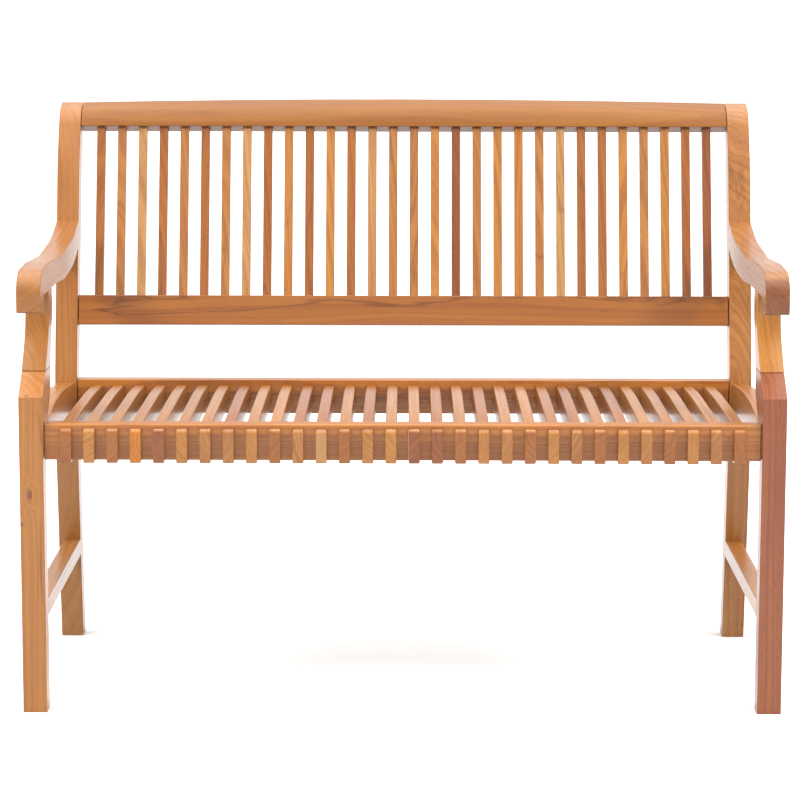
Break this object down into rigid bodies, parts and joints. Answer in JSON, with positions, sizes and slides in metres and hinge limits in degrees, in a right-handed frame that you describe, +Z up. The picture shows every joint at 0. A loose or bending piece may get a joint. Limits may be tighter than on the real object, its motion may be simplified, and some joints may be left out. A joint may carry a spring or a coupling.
{
  "type": "garden bench",
  "caption": "Two-seat wooden garden bench with scrolled arms, a seat and back of narrow slats and raked, curled rear posts.",
  "frame": {"origin": "middle of the bench's width and depth, on the ground", "axes": "+X to the right as seen from the front, +Y towards the back, +Z up"},
  "size_m": [1.22, 0.6161, 0.9529],
  "materials": {
    "teak_golden": "satin varnished teak, golden brown",
    "teak_red": "satin varnished teak, red brown",
    "teak_pale": "satin varnished teak, pale",
    "teak_slat": "satin varnished teak, each slat its own tone",
    "hardwood_pin": "hardwood dowel",
    "nail_steel": "stainless steel"
  },
  "bodies": {
    "root": {"front_leg_left": "teak_golden", "front_leg_right": "teak_red", "rear_post_left": "teak_golden", "rear_post_right": "teak_red", "arm_support_left": "teak_golden", "arm_support_right": "teak_golden", "armrest_left": "teak_golden", "armrest_right": "teak_red", "side_seat_rail_left": "teak_golden", "side_seat_rail_right": "teak_golden", "stretcher_left": "teak_golden", "stretcher_right": "teak_golden", "front_seat_rail": "teak_golden", "rear_seat_rail": "teak_red", "lower_back_rail": "teak_red", "top_rail": "teak_pale", "seat_slat_01": "teak_slat", "seat_slat_02": "teak_slat", "seat_slat_03": "teak_slat", "seat_slat_04": "teak_slat", "seat_slat_05": "teak_slat", "seat_slat_06": "teak_slat", "seat_slat_07": "teak_slat", "seat_slat_08": "teak_slat", "seat_slat_09": "teak_slat", "seat_slat_10": "teak_slat", "seat_slat_11": "teak_slat", "seat_slat_12": "teak_slat", "seat_slat_13": "teak_slat", "seat_slat_14": "teak_slat", "seat_slat_15": "teak_slat", "seat_slat_16": "teak_slat", "seat_slat_17": "teak_slat", "seat_slat_18": "teak_slat", "seat_slat_19": "teak_slat", "seat_slat_20": "teak_slat", "seat_slat_21": "teak_slat", "seat_slat_22": "teak_slat", "seat_slat_23": "teak_slat", "seat_slat_24": "teak_slat", "seat_slat_25": "teak_slat", "seat_slat_26": "teak_slat", "seat_slat_27": "teak_slat", "seat_slat_28": "teak_slat", "seat_slat_29": "teak_slat", "seat_slat_30": "teak_slat", "back_slats_01_05": "teak_slat", "back_slats_06_10": "teak_slat", "back_slats_11_15": "teak_slat", "back_slats_16_20": "teak_slat", "back_slats_21_25": "teak_slat", "back_slats_26_30": "teak_slat", "side_joint_pins": "hardwood_pin", "cross_joint_pins": "hardwood_pin", "arm_support_dowels": "hardwood_pin", "seat_slat_nails": "nail_steel"}
  },
  "joints": []
}
